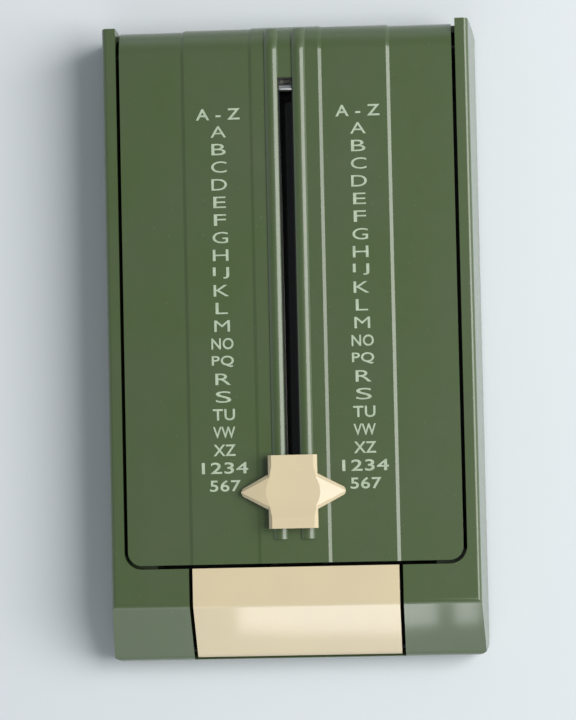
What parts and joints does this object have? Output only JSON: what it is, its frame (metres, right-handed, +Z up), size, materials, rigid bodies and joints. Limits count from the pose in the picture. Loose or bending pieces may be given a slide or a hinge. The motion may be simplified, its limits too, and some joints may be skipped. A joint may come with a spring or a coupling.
{
  "type": "pop up telephone index",
  "caption": "Flat desk card index: a pointer slides along a lettered slot in a hinged lid, and a front bar releases the sprung lid at the chosen card.",
  "frame": {"origin": "middle of the footprint, on the surface that the rubber feet stand on", "axes": "+X to the right seen from the release bar, +Y from the release bar towards the hinge, +Z up"},
  "size_m": [0.112, 0.187, 0.0306],
  "materials": {
    "green_plastic": "moulded, semi-gloss green",
    "cream_plastic": "moulded, semi-gloss cream",
    "black_plastic": "moulded, matt black",
    "steel": "bright plated steel",
    "painted_steel": "sheet steel, painted satin black-green",
    "rubber": "matt black rubber",
    "card_stock": "thin ruled card"
  },
  "bodies": {
    "case": {"case_shell": "green_plastic", "foot_channel": "black_plastic", "ring_holders": "black_plastic", "bottom_cover": "painted_steel", "card_rest": "painted_steel", "cover_screws": "steel", "card_rest_screws": "steel", "card_rings": "steel", "hinge_pins": "steel", "lid_spring_left": "steel", "lid_spring_right": "steel", "latch_spring": "steel", "latch_screw": "steel", "bar_pivot_rod": "steel", "bar_spring": "steel", "rubber_feet": "rubber", "index_card_22": "card_stock"},
    "lid": {"lid_cover": "green_plastic", "slot_rail": "black_plastic", "detent_rack": "black_plastic", "rail_rivets": "steel", "slot_end_pin": "steel", "lid_catch": "steel"},
    "pointer": {"pointer": "cream_plastic", "pointer_carriage": "steel", "carriage_screws": "steel", "pickup_foot": "steel", "detent_spring": "steel"},
    "release_bar": {"release_bar": "cream_plastic"},
    "cards": {"index_card_01": "card_stock", "index_card_02": "card_stock", "index_card_03": "card_stock", "index_card_04": "card_stock", "index_card_05": "card_stock", "index_card_06": "card_stock", "index_card_07": "card_stock", "index_card_08": "card_stock", "index_card_09": "card_stock", "index_card_10": "card_stock", "index_card_11": "card_stock", "index_card_12": "card_stock", "index_card_13": "card_stock", "index_card_14": "card_stock", "index_card_15": "card_stock", "index_card_16": "card_stock", "index_card_17": "card_stock", "index_card_18": "card_stock", "index_card_19": "card_stock", "index_card_20": "card_stock", "index_card_21": "card_stock"}
  },
  "joints": [
    {"name": "lid_hinge", "type": "hinge", "parent": "case", "child": "lid", "pos_m": [0, 0.0849, 0.0174], "axis": [-1, 0, 0], "range_deg": [0, 70], "deforming": ["lid_spring_left", "lid_spring_right", "latch_spring"]},
    {"name": "card_lift", "type": "hinge", "parent": "case", "child": "cards", "pos_m": [0, 0.0849, 0.0174], "axis": [-1, 0, 0], "range_deg": [0, 70]},
    {"name": "pointer_slide", "type": "slide", "parent": "lid", "child": "pointer", "axis": [0, 1, 0], "range_m": [0, 0.11135]},
    {"name": "bar_press", "type": "hinge", "parent": "case", "child": "release_bar", "pos_m": [0, -0.09011, 0.01079], "axis": [-1, 0, 0], "range_deg": [0, 2.6], "stiffness_Nm_per_rad": 2, "deforming": ["bar_spring", "latch_spring"]}
  ],
  "couplings": [
    {"joint": "card_lift", "follows": "lid_hinge", "ratio": 1}
  ]
}
